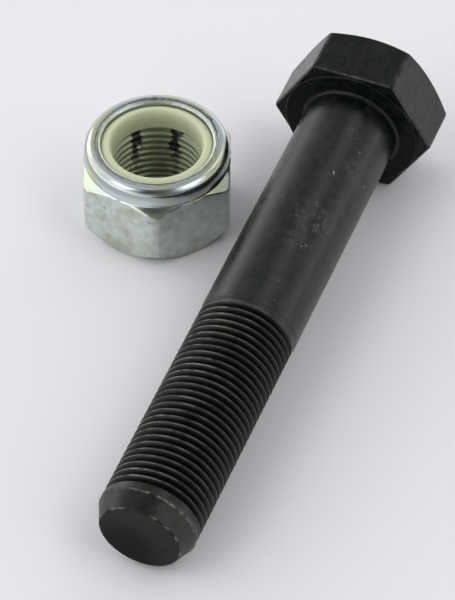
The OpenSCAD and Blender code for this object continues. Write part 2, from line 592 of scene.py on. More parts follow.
    def marks(self, point: bpy.types.NodeSocket, marks: tuple["Mark", ...]) -> Num:
        """Where a group of marks lies.

        Args:
            point: The place on the piece.
            marks: The marks.

        Returns:
            The strongest mark's strength, from 0 to 1.
        """
        total = self.maths("MULTIPLY", 0, 0)
        for mark in marks:
            spot = self.distance(point, mark.place).step(mark.radius, mark.radius * MARK_CORE)
            total = total.most(spot * mark.strength)
        return total

    def bump(self, height: Num, depth: float) -> bpy.types.NodeSocket:
        """The shading normal over a relief from 0 to 1, whose depth is in millimetres."""
        feeds = {"Height": height, "Strength": 1.0, "Distance": depth * MM}
        return self.node("ShaderNodeBump", {}, feeds).outputs["Normal"]

    def surface(self, feeds: dict[str, Feed], share: Num | None = None, other: dict | None = None) -> None:
        """Ends the tree in one Principled shader, or in a mix of two.

        Args:
            feeds: Sockets of the shader.
            share: Share of the second shader, if there is one.
            other: Sockets in which the second shader differs from the first.
        """
        shader = self.node("ShaderNodeBsdfPrincipled", {}, feeds)
        if share is not None:
            second = self.node("ShaderNodeBsdfPrincipled", {}, feeds | other)
            both = {"Fac": share, "Shader": shader.outputs[0], "Shader_001": second.outputs[0]}
            shader = self.node("ShaderNodeMixShader", {}, both)
        self.node("ShaderNodeOutputMaterial", {}, {"Surface": shader.outputs[0]})


def sheet_of(name: str) -> tuple[bpy.types.Material, Sheet]:
    """A new material and its empty node tree."""
    material = bpy.data.materials.new(name)
    return material, Sheet(material)


@dataclass(frozen=True)
class Skin:
    """The surface of a piece: the place on it, and the noises that its finish is worn by."""

    sheet: Sheet
    point: bpy.types.NodeSocket
    x: Num
    y: Num
    z: Num
    radius: Num
    grain: Num
    mottle: Num
    cloud: Num

    @classmethod
    def of(cls, sheet: Sheet, place: Matrix, sizes: Trio) -> "Skin":
        """Reads the place in the piece's own frame.

        Args:
            sheet: The material's tree.
            place: From the piece's own frame to the row frame, in metres.
            sizes: Sizes of the grain, the mottle and the clouds, in millimetres.

        Returns:
            The skin.
        """
        point = sheet.own_place(place)
        x, y, z = sheet.split(point)
        radius = (x * x + y * y) ** 0.5
        noises = (sheet.noise(point, size, detail) for size, detail in zip(sizes, (3, 4, 4)))
        return cls(sheet, point, x, y, z, radius, *noises)


@dataclass(frozen=True)
class Mark:
    """A small worn or dusty spot, as the photo shows it, in a piece's own frame."""

    place: Point
    radius: float
    strength: float = 1


def on_bar(radius: float, angle: float, along: float) -> Point:
    """A place on a round bar, from its angle in degrees and its height."""
    turn = math.radians(angle)
    return radius * math.cos(turn), radius * math.sin(turn), along


def shank_mark(angle: float, along: float, radius: float, strength: float) -> Mark:
    """A mark on the shank, from its angle in degrees and its height."""
    return Mark(on_bar(SHANK_R, angle, along), radius, strength)


SHANK_MARKS = (
    shank_mark(66.4, 18.4, 0.22, 1.9),
    shank_mark(65.6, 18.9, 0.16, 1.1),
    shank_mark(49.8, 11.0, 0.22, 0.9),
    shank_mark(20.8, 15.6, 0.30, 0.7),
    shank_mark(68.1, 26.4, 0.20, 0.8),
    shank_mark(66.6, 26.9, 0.16, 0.8),
    shank_mark(71.0, 30.7, 0.18, 0.5),
    shank_mark(57.8, 28.8, 0.16, 0.5),
    shank_mark(55.5, 27.3, 0.16, 0.4),
    shank_mark(77.9, 35.4, 0.18, 0.4),
    shank_mark(45.6, 23.0, 0.18, 0.4),
    shank_mark(32.6, 24.5, 0.18, 0.4),
    shank_mark(60.0, 49.7, 0.20, 0.5),
    shank_mark(66.9, 46.0, 0.16, 0.4),
    shank_mark(61.0, 36.6, 0.24, 0.7),
    shank_mark(56.2, 35.8, 0.28, 0.6),
)
SHANK_SMEARS = (
    shank_mark(62, 30, 5.5, 0.9),
    shank_mark(70, 36, 3.0, 0.8),
    shank_mark(68, 46, 2.2, 0.9),
    shank_mark(72, 9, 2.6, 1.0),
    shank_mark(127, 27, 4.5, 0.8),
    shank_mark(40, 15, 4.0, 0.5),
)
NUT_DENTS = (
    Mark((6.5, -13.4, 11.5), 0.50),
    Mark((-3.1, -13.4, 10.5), 0.45),
    Mark((-2.7, -13.4, 3.4), 0.50),
    Mark((8.9, -11.3, 2.2), 0.60),
    Mark((-6.9, -13.4, 9.0), 0.45, 0.8),
)
NUT_STAINS = (
    Mark((-3.9, -13.4, 8.1), 2.2, 0.9),
    Mark((-2.3, -13.4, 2.3), 2.6, 0.8),
    Mark((1.0, -13.4, 6.7), 1.8, 0.6),
    Mark((5.8, -13.4, 4.8), 2.2, 0.5),
    Mark((7.9, -13.7, 12.9), 2.5, 1.2),
)


@dataclass(frozen=True)
class BlackOxide:
    """Blackened steel, worn down to the metal on its edges and on the thread's crests.

    A pair named for patches, streaks, clouds, flecks or grain says where that noise
    starts to show and where it shows in full. The specks are given by the spacing of
    their places, their radius and the share of the places that hold one.
    """

    bolt: "Bolt"
    body: Colour = (0.0018, 0.0042, 0.0030)
    faded: Colour = (0.0125, 0.0130, 0.0112)
    pilot: Colour = (0.021, 0.021, 0.018)
    # Colour of the painted shade in the thread's roots and on the end face.
    painted_shade: Colour = (0.0012, 0.0014, 0.0015)
    speck: Colour = (0.75, 0.75, 0.72)
    # Colour of worn metal, also used for the painted highlights.
    bare_and_highlight: Colour = (0.16, 0.165, 0.135)
    dust: Colour = (0.22, 0.22, 0.20)
    index: float = 1.4
    # Index of the second shader, which paints shade by shining less.
    painted_shade_index: float = 1.17
    roughness: float = 0.29
    noise_sizes: Trio = (0.4, 1.6, 6)
    streak_size: float = 0.6
    streak_squeeze: float = 0.1
    # Middle of the painted shade on the end face, in the bolt's own x and y.
    end_shade_middle: Station = (-2.5, -3.0)
    # Where the painted shade on the pilot is darkest: radius, angle and height.
    painted_pilot_shade_at: Trio = (8, 95, 98.5)
    rubbed_flat_angle: float = 30
    relief_depth: float = 0.012
    faded_patches: Station = (0.38, 0.68)
    faded_streaks: Station = (0.5, 0.75)
    rubbed_streaks: Station = (0.3, 0.7)
    pilot_patches: Station = (0.35, 0.6)
    crest_clouds: Station = (0.25, 0.65)
    crest_patches: Station = (0.3, 0.6)
    edge_patches: Station = (0.44, 0.64)
    edge_flecks: Station = (0.40, 0.58)
    haze_patches: Station = (0.42, 0.70)
    film_grain: Station = (0.44, 0.66)
    film_share: float = 0.26
    specks: Trio = (0.9, 0.10, 0.22)

    def material(self) -> bpy.types.Material:
        """Makes the finish, whose worn places and painted shade follow the bolt's sizes.

        Returns:
            The material.
        """
        bolt = self.bolt
        material, sheet = sheet_of("black_oxide")
        skin = Skin.of(sheet, bolt.place, self.noise_sizes)
        point, z, radius, mottle = skin.point, skin.z, skin.radius, skin.mottle
        along_bar = sheet.join(skin.x, skin.y, z * self.streak_squeeze)
        streaks = sheet.noise(along_bar, self.streak_size, 3)
        crest_wear_and_highlight, root = self.thread_wear_and_highlight(skin)
        # Worn places, and the painted highlights on the crests and under the head.
        wear_and_highlight = crest_wear_and_highlight.most(self.edge_wear_and_highlight(skin)).least(1)
        haze, dusty = self.dust_on_shank(skin)

        # Painted shade on the head's bearing face and on the shank beside the head.
        painted_shade_under_head = z.near(-0.1, 0.7) * radius.step(bolt.shank_r + 0.3, bolt.shank_r + 0.8)
        painted_shade_near_head = z.step(5, 0.4) * z.step(-0.2, 0.2) * radius.step(bolt.shank_r + 0.3, bolt.shank_r)
        on_head = z.step(-0.3, -0.8)
        # Painted shade on the head's top flat, which shines less.
        top_shade = skin.y.step(bolt.flat - 0.5, bolt.flat - 0.1) * on_head * (0.75 + streaks * 0.5)
        rubbed_way = on_bar(1, self.rubbed_flat_angle, 0)
        rubbed_flat = sheet.along(point, rubbed_way).step(bolt.flat - 0.3, bolt.flat - 0.1)

        tip, end = bolt.length, bolt.thread_end
        on_end = z.step(tip - 0.3, tip - 0.02)
        # Painted shade on the end face, darkest towards its lower left.
        hollow = sheet.distance(point, (*self.end_shade_middle, tip)).step(8, 2)
        end_shade = on_end * (0.62 + hollow * 0.38)
        on_pilot = z.step(end - 0.8, end - 0.2) * z.step(tip - 0.05, tip - 0.3)
        # Painted shade on one side of the pilot.
        painted_pilot_shade = sheet.distance(point, on_bar(*self.painted_pilot_shade_at)).step(5, 1.5) * on_pilot
        pilot_share = on_pilot * (0.4 + mottle.step(*self.pilot_patches) * 0.6) * (1 - painted_pilot_shade)

        fade = mottle.step(*self.faded_patches) * 0.5 + streaks.step(*self.faded_streaks) * 0.2 + haze * 0.8
        rubbed_share = rubbed_flat * on_head * (0.1 + streaks.step(*self.rubbed_streaks))
        colour = sheet.layered(
            self.body,
            (fade, self.faded),
            (pilot_share, self.pilot),
            # Painted shade in the thread's roots and on the end face.
            ((root * 0.9).most(end_shade * 0.8), self.painted_shade),
            (rubbed_share, self.pilot),
            (wear_and_highlight, self.bare_and_highlight),
            (dusty.least(1), self.dust),
            ((dusty - 1).step(0, 1), self.speck),
        )
        painted_shade_at_neck = painted_shade_under_head * 0.8 + painted_shade_near_head * 0.8
        # Share of the second shader, which paints shade by shining less: under and beside the head, in the
        # roots, on the end face, on the head's top flat and on one side of the pilot.
        painted_shade_share = painted_shade_at_neck + root * 0.6 + end_shade + top_shade * 0.6 + painted_pilot_shade * 0.6
        roughness = self.roughness + (mottle - 0.5) * 0.2 + fade * 0.06 + on_pilot * 0.14 + root * 0.15
        relief = skin.grain * 0.3 + streaks * 0.4 + mottle * 0.2
        sheet.surface(
            {
                "Base Color": colour,
                "Metallic": crest_wear_and_highlight * 0.9,
                "Roughness": roughness,
                "IOR": self.index,
                "Normal": sheet.bump(relief, self.relief_depth),
            },
            painted_shade_share.least(1) * (1 - wear_and_highlight),
            {"IOR": self.painted_shade_index},
        )
        return material

    def thread_wear_and_highlight(self, skin: Skin) -> tuple[Num, Num]:
        """Where the crests are worn down to the metal, with a painted highlight on the left, and where the
        roots lie.

        Args:
            skin: The bolt's surface.

        Returns:
            The worn crests with their painted highlight, and the depth of the roots, from 0 to 1.
        """
        bolt, z, radius = self.bolt, skin.z, skin.radius
        start, end = bolt.thread_start, bolt.thread_end
        on_thread = z.step(start, start + 0.5) * z.step(end + 0.3, end)
        ridges = z.step(start + 1.2, start + 2.2) * z.step(end - 1.6, end - 2.4)
        crest = radius.step(bolt.crest_r - 0.10, bolt.crest_r - 0.02) * ridges
        # Painted highlight: the crests are brighter on the left, where the light falls.
        painted_light_side = skin.x.step(7, -1) * 0.8 + 0.2
        wear_and_highlight = crest * skin.cloud.step(*self.crest_clouds) * skin.mottle.step(*self.crest_patches) * painted_light_side
        return wear_and_highlight, radius.step(bolt.crest_r - 0.12, bolt.root_r + 0.25) * on_thread

    def dust_on_shank(self, skin: Skin) -> tuple[Num, Num]:
        """Where the plain shank is smeared and dusty.

        Args:
            skin: The bolt's surface.

        Returns:
            The haze of the smears, and the dust, which passes 1 on the brightest specks.
        """
        sheet, start = skin.sheet, self.bolt.thread_start
        on_shank = skin.z.step(start - 0.4, start - 1.4) * skin.z.step(0.3, 1.2)
        specks = sheet.spots(skin.point, *self.specks)
        haze = sheet.marks(skin.point, SHANK_SMEARS) * skin.mottle.step(*self.haze_patches)
        film = haze * skin.grain.step(*self.film_grain) * self.film_share
        marks = sheet.marks(skin.point, SHANK_MARKS)
        return haze, (specks * (0.10 + haze * 0.8) + marks + film) * on_shank

    def edge_wear_and_highlight(self, skin: Skin) -> Num:
        """Where the head's edges, the pilot and the tip's rim are worn bright, and where a highlight is
        painted on the fillet under the head.

        Args:
            skin: The bolt's surface.

        Returns:
            The worn places with the painted highlight, from 0 to about 1.
        """
        bolt, x, z, radius = self.bolt, skin.x, skin.z, skin.radius
        flats = self.across_flats(x, skin.y)
        under = (flats - abs(z + bolt.bearing_height)).step(bolt.flat - 0.42, bolt.flat - 0.14)
        corner = radius.step(bolt.corner_r - 0.25, bolt.corner_r) * z.step(0, -bolt.bearing_height)
        bearing_rim = (radius - abs(z) * 2).near(bolt.bearing_r, 0.22) * z.near(0, 0.3)
        at_end = z.step(bolt.length - 1, bolt.length - 0.4)
        rim = (radius + abs(z - bolt.length)).near(bolt.tip_end_r, 0.4) * at_end
        # Painted highlight on the fillet under the head.
        painted_neck_highlight = radius.near(bolt.shank_r + bolt.neck_fillet, 0.22) * z.near(0, 0.2)
        patches = skin.sheet.noise(skin.point, 1.4, 3).step(*self.edge_patches)
        flecks = skin.sheet.noise(skin.point, 0.9, 3).step(*self.edge_flecks)
        cone_start = z.near(bolt.thread_end + 0.05, 0.26) * (x.step(-5, 2) * 0.7 + 0.25)
        broken = (under * 0.95 + corner * 0.12 + rim * 0.9) * patches + cone_start * flecks
        return broken + under * (0.35 + flecks * 0.3) + bearing_rim * 0.14 + painted_neck_highlight * 0.18

    @staticmethod
    def across_flats(x: Num, y: Num) -> Num:
        """How far a point stands out towards the nearest flat of the hexagon."""
        leaning = abs(x) * math.cos(math.radians(30)) + abs(y) * 0.5
        return leaning.most(abs(y))


@dataclass(frozen=True)
class ZincPlate:
    """Bright zinc plate with a faint blue and straw tint, stained on the flats.

    A pair named for patches or grain says where that noise starts to show and where
    it shows in full. The pits are given as the bolt's specks are.
    """

    nut: "Nut"
    blue: Colour = (0.44, 0.49, 0.50)
    straw: Colour = (0.46, 0.49, 0.38)
    flat_pale: Colour = (0.47, 0.51, 0.49)
    flat_grey: Colour = (0.38, 0.42, 0.395)
    # Colour of the painted highlight on the lip's inner edge.
    lip_highlight: Colour = (0.74, 0.77, 0.70)
    # Painted light: the collar's wall and the flats are made lighter on the left than on the right.
    painted_light_left: Colour = (1.46, 1.46, 1.46)
    painted_light_right: Colour = (1.04, 1.04, 1.06)
    stain: Colour = (0.27, 0.29, 0.20)
    greenish: Colour = (0.42, 0.47, 0.30)
    inner: Colour = (0.31, 0.345, 0.225)
    oil: Colour = (0.012, 0.013, 0.010)
    # Colour of grime in the pits and dents, and of painted shade in the crease.
    dirt_and_shade: Colour = (0.05, 0.05, 0.045)
    roughness: float = 0.17
    noise_sizes: Trio = (0.35, 1.5, 4)
    tint_size: float = 7
    crease_r: float = 11.3
    oily_angles: Station = (152, 98.6)
    oily_half_angle: float = 10
    relief_depth: float = 0.02
    tint_patches: Station = (0.42, 0.60)
    flat_patches: Station = (0.36, 0.64)
    stain_patches: Station = (0.50, 0.70)
    mark_patches: Station = (0.35, 0.60)
    lip_patches: Station = (0.35, 0.65)
    crease_patches: Station = (0.35, 0.55)
    crease_grain: Station = (0.40, 0.56)
    dent_grain: Station = (0.38, 0.55)
    pits: Trio = (2.2, 0.2, 0.14)

    def material(self) -> bpy.types.Material:
        """Makes the finish, whose stains and polish follow the nut's sizes.

        Returns:
            The material.
        """
        nut = self.nut
        material, sheet = sheet_of("zinc_plate")
        skin = Skin.of(sheet, nut.place, self.noise_sizes)
        point, z, radius = skin.point, skin.z, skin.radius
        grain, mottle, cloud = skin.grain, skin.mottle, skin.cloud
        tint = sheet.noise(point, self.tint_size, 2)

        collar = z.step(nut.hex_height + 0.2, nut.hex_height + 1)
        bore = radius.step(nut.lip_r - 0.9, nut.lip_r - 1.1)
        flats = (1 - collar) * (1 - bore)
        below_roll = z.step(nut.height - 1.6, nut.height - 2.6) * (1 - bore)
        on_top = z.step(nut.height - 0.6, nut.height - 0.3)
        lip = radius.step(self.crease_r + 0.1, self.crease_r - 0.1) * on_top
        rough_lip = sheet.noise(point, 0.9, 3).step(*self.lip_patches) * lip
        ragged_r = radius + (mottle - 0.5) * 0.5
        # Painted highlight on the lip's inner edge.
        painted_lip_highlight = ragged_r.near(nut.lip_r + 0.25, 0.3) * on_top
        crease = self.crease(skin, ragged_r, on_top)
        shoulder = self.shoulder(skin)
        pits = sheet.spots(point, *self.pits) * flats
        dents = sheet.marks(point, NUT_DENTS) * grain.step(*self.dent_grain)
        stains = sheet.marks(point, NUT_STAINS) * mottle.step(*self.mark_patches)
        oil = self.oil_streaks(skin) * bore * (z.step(3, 9) * 0.6 + 0.4)

        on_flat = sheet.mix(mottle.step(*self.flat_patches), self.flat_grey, self.flat_pale)
        stained = cloud.step(*self.stain_patches) * flats * 0.5 + rough_lip * 0.45
        colour = sheet.layered(
            self.blue,
            (tint.step(*self.tint_patches), self.straw),
            (flats * 0.85, on_flat),
            (bore, self.inner),
            (stained, self.stain),
            (shoulder * 0.45, self.greenish),
            ((stains * 0.8).least(1), self.stain),
        )
        # Painted light: below the roll, the plate is lighter on the left, where the light falls, than on
        # the right.
        painted_side_light = sheet.mix(skin.x.step(9.5, 4), self.painted_light_right, self.painted_light_left)
        colour = sheet.layered(
            colour,
            (below_roll, sheet.mix(1.0, colour, painted_side_light, "MULTIPLY")),
            (painted_lip_highlight * 0.7, self.lip_highlight),
            # Grime in the pits and dents; grime and painted shade in the crease.
            (pits * 0.8 + crease * 0.85 + dents * 0.6, self.dirt_and_shade),
            (oil, self.oil),
        )

        roughness = self.roughness + flats * 0.16 + lip * 0.12 + bore * 0.23 + (mottle - 0.5) * flats * 0.2
        relief = grain * 0.3 + mottle * (0.15 + flats * 0.7) + rough_lip * 2 - pits - dents * 2 - crease * 3
        sheet.surface(
            {
                "Base Color": colour,
                "Metallic": 1 - bore * 0.4,
                "Roughness": roughness + (grain - 0.5) * 0.06,
                "Normal": sheet.bump(relief, self.relief_depth),
            }
        )
        return material

    def crease(self, skin: Skin, ragged_r: Num, on_top: Num) -> Num:
        """The crease between the roll and the lip, darkened by grime and by painted shade, and wider on the
        far side.

        Args:
            skin: The nut's surface.
            ragged_r: Distance from the axis, with noise in it.
            on_top: The upper face of the roll and the lip.

        Returns:
            The crease, from 0 to 1.
        """
        patchy = skin.cloud.step(*self.crease_patches) * 0.5 + 0.5
        narrow = ragged_r.near(self.crease_r, 0.28) * on_top * patchy
        # Painted shade: the crease is darker and wider on the far side.
        far_side_shade = skin.y.step(6, 10) * skin.grain.step(*self.crease_grain)
        return (narrow + ragged_r.near(self.crease_r - 0.1, 0.5) * on_top * far_side_shade).least(1)

    def shoulder(self, skin: Skin) -> Num:
        """The sloping shoulder between the hexagon and the collar.

        Args:
            skin: The nut's surface.

        Returns:
            1 on the slope, 0 off it.
        """
        nut = self.nut
        rise = math.tan(math.radians(nut.shoulder_angle))
        slope = (skin.z + skin.radius * rise).near(nut.hex_height + nut.corner_r * rise, 0.25)
        return slope * skin.radius.step(nut.collar_r + 0.05, nut.collar_r + 0.3)

    def oil_streaks(self, skin: Skin) -> Num:
        """Two dark streaks of oil down the far side of the bore.

        Args:
            skin: The nut's surface.

        Returns:
            The oil, from 0 to 1.
        """
        ragged = skin.mottle + skin.grain * 0.3
        angle = skin.sheet.maths("DEGREES", skin.sheet.maths("ARCTAN2", skin.y, skin.x))
        angle = angle + (ragged - 0.65) * 34
        first, second = (angle.near(at, self.oily_half_angle) for at in self.oily_angles)
        return first.most(second).step(0.25, 0.6)


@dataclass(frozen=True)
class Nylon:
    """Pale cream-green nylon, a little glossy."""

    nut: "Nut"
    cream: Colour = (0.56, 0.60, 0.40)
    dull: Colour = (0.50, 0.54, 0.36)
    fleck: Colour = (0.12, 0.11, 0.07)
    glow: float = 0.25
    glow_depth: float = 1.2
    glow_tint: Colour = (1.0, 1.0, 0.6)
    index: float = 1.53
    roughness: float = 0.36
    relief_depth: float = 0.03
    dull_patches: Station = (0.45, 0.75)
    flecks: Trio = (1.8, 0.10, 0.06)

    def material(self) -> bpy.types.Material:
        """Makes the finish of the nut's ring.

        Returns:
            The material.
        """
        material, sheet = sheet_of("nylon")
        point = sheet.own_place(self.nut.place)
        cloud = sheet.noise(point, 3.5, 3)
        grain = sheet.noise(point, 0.4, 2)
        flecks = sheet.spots(point, *self.flecks)
        layers = ((cloud.step(*self.dull_patches) * 0.5, self.dull), (flecks * 0.7, self.fleck))
        sheet.surface(
            {
                "Base Color": sheet.layered(self.cream, *layers),
                "Roughness": self.roughness + (grain - 0.5) * 0.12,
                "IOR": self.index,
                "Subsurface Weight": self.glow,
                "Subsurface Scale": self.glow_depth * MM,
                "Subsurface Radius": self.glow_tint,
                "Normal": sheet.bump(grain * 0.4 + cloud * 0.6, self.relief_depth),
            }
        )
        return material


@dataclass
class Helix:
    """A thread's helix as it winds along a bar, right-handed."""

    profile: list[Station]
    pitch: float
    foot: float
    turns: int
    phase: float
    crest_r: float
    runout: float
    steps: int = 96
    spare: int = 2

    def shape(self, name: str) -> Shape:
        """Winds the profile round the bar, with plain turns to spare at each end.

        Args:
            name: What the shape is called.

        Returns:
            The open skin of the bar, on which the groove fades out at both ends.
        """
        low = self.foot - self.spare * self.pitch
        chain = Shape.traced(name, [(r, low + rise) for r, rise in self.profile])
        settings = {
            "angle": math.tau,
            "screw_offset": self.pitch,
            "iterations": self.turns + 2 * self.spare,
            "steps": self.steps,
            "render_steps": self.steps,
            "use_normal_calculate": True,
        }
        chain.apply("SCREW", settings)
        with chain.edited(Picked.POINTS):
            chain.face_outwards(merge=1e-3)
        self.fade(chain, low)
        chain.obj.data.transform(Matrix.Rotation(math.radians(self.phase), 4, "Z"))
        return chain

    def fade(self, chain: Shape, low: float) -> None:
        """Brings the groove up to the surface at both ends.

        Args:
            chain: The wound skin.
            low: Height at which the first turn starts.
        """
        for vertex in chain.obj.data.vertices:
            x, y, z = vertex.co
            share = (math.atan2(y, x) / math.tau) % 1
            turn = math.floor((z - low) / self.pitch - share + 1e-4) + share - self.spare
            depth = max(0.0, min(1.0, turn / self.runout, (self.turns - turn) / self.runout))
            radius = math.hypot(x, y)
            scale = (self.crest_r + (radius - self.crest_r) * depth) / radius
            vertex.co = (x * scale, y * scale, z)


@dataclass
class Bolt:
    """Hex bolt with a plain shank, a fine thread and a tapered tip."""

    tilt: float
    bearing: Vector
    shank_r: float = SHANK_R
    crest_r: float = 8.9
    root_r: float = 8.08
    pitch: float = 1.5
    length: float = 100
    thread_start: float = 51.3
    thread_end: float = 96.6
    turns: int = 29
    runout: float = 0.8
    thread_phase: float = 60
    thread_lead: float = 0.2
    crest_edge: float = 0.06
    shank_step: float = 0.3
    cone_edge: float = 0.1
    tip_start_r: float = 8.75
    tip_end_r: float = 7.5
    tip_edge_r: float = 0.4
    tip_cap_r: float = 4
    neck_fillet: float = 0.5
    across: float = 26.8
    corner_round: float = 0.9
    corner_r: float = 15.333
    head_height: float = 11.2
    bearing_r: float = 12.95
    bearing_height: float = 0.5
    bearing_bevel: float = 0.12
    crown_r: float = 12.7
    bevel_angle: float = 30
    under_bevel: float = 0.4
    edge_ease: float = 0.16
    sides: int = 120
    place: Matrix = field(init=False)

    def __post_init__(self) -> None:
        """Works out where the bolt lies: its own z runs to the tip, its y is up."""
        lean = Matrix.Rotation(math.radians(90) + self.tilt, 4, "X")
        self.place = Matrix.Translation(self.bearing) @ lean

    @property
    def flat(self) -> float:
        """Distance of a flat from the axis."""
        return self.across / 2

    @classmethod
    def lying(cls, mount: dict) -> "Bolt":
        """Finds the place of the bolt from the mount on its shank.

        Args:
            mount: The record's mount, in the middle of the plain shank.

        Returns:
            The bolt.
        """
        axis = Vector(mount["axis"])
        shank_middle = (cls.bearing_height + cls.thread_start) / 2 * MM
        bearing = Vector(mount["pos_m"]) - axis * shank_middle
        return cls(tilt=math.asin(-axis.z), bearing=bearing)

    def thread_profile(self) -> list[Station]:
        """One pitch of the thread: half a crest, a flank, a round root, a flank, half a crest.

        Returns:
            Radius and rise of each point.
        """
        crest_land = self.pitch / 8
        flank_run = (self.crest_r - self.root_r) * math.tan(math.radians(30))
        root_land = self.pitch - crest_land - 2 * flank_run
        root_round = root_land / 2 / math.cos(math.radians(30))
        middle = crest_land + flank_run + root_land / 2
        edge = self.crest_edge
        root = arc((self.root_r + root_round / 2, 0), root_round, 210, 150, 4)
        return [
            (self.crest_r, 0),
            (self.crest_r, crest_land - edge),
            (self.crest_r - edge, crest_land + edge * 0.6),
            *[(r, middle + rise) for r, rise in root],
            (self.crest_r - edge, self.pitch - edge * 0.6),
            (self.crest_r, self.pitch),
        ]

    def shaft(self) -> Shape:
        """Models the threaded part, and draws the shank and the tip out of its ends.

        Returns:
            The closed shaft, without the head.
        """
        foot = self.thread_start + self.thread_lead
        sizes = (self.pitch, foot, self.turns, self.thread_phase, self.crest_r, self.runout)
        shaft = Helix(self.thread_profile(), *sizes).shape("bolt_shaft")
        low = foot - self.pitch / 2
        high = foot + (self.turns + 1) * self.pitch
        fillet = arc((self.shank_r + self.neck_fillet, self.neck_fillet), self.neck_fillet, 180, 270, 6)
        to_head = [
            (self.crest_r, self.thread_start),
            (self.shank_r, self.thread_start - self.shank_step),
            *fillet,
            (self.bearing_r - self.bearing_bevel, 0),
            (self.bearing_r, -self.bearing_bevel),
            (self.bearing_r, -self.bearing_height * 3),
        ]
        edge = self.tip_edge_r
        to_tip = [
            (self.crest_r, self.thread_end - self.cone_edge / 2),
            (self.tip_start_r, self.thread_end + self.cone_edge),
            *arc((self.tip_end_r - edge, self.length - edge), edge, 12, 90, 5),
            (self.tip_cap_r, self.length),
        ]
        with shaft.edited(Picked.EDGES):
            shaft.cut_level(low, keep_above=True)
            shaft.draw_on((self.crest_r, low), to_head)
            bpy.ops.mesh.edge_face_add()
            shaft.cut_level(high, keep_above=False)
            shaft.draw_on((self.crest_r, high), to_tip)
            bpy.ops.mesh.edge_face_add()
            shaft.face_outwards()
        return shaft

    def head(self) -> Shape:
        """Models the hexagon: a bar with its crown bevelled and its corners trimmed.

        Returns:
            The closed head.
        """
        low, high = -self.head_height, -self.bearing_height
        outer_r = self.corner_r + CUTTER_REACH
        shoulder = low + (outer_r - self.crown_r) * math.tan(math.radians(self.bevel_angle))
        under_r = self.corner_r - self.under_bevel
        past = CUTTER_OVERSHOOT / 2
        outline = [
            (self.crown_r, low),
            (outer_r, shoulder),
            (outer_r, high + under_r - outer_r),
            (under_r - past, high + past),
        ]
        bar = Shape.hexagon("bolt_head", self.across, low - CUTTER_OVERSHOOT, high, self.corner_round)
        bar.combine(Shape.turned("head_outline", outline, self.sides), Combine.KEEP_COMMON)
        bar.ease_edges(self.edge_ease)
        return bar

    def build(self) -> None:
        """Models, joins, dresses and places the bolt."""
        bolt = self.head()
        bolt.combine(self.shaft(), Combine.JOIN)
        bolt.obj.name = "bolt"
        bolt.placed(self.place, BlackOxide(self).material(), "hex_bolt", "black_oxide_steel")


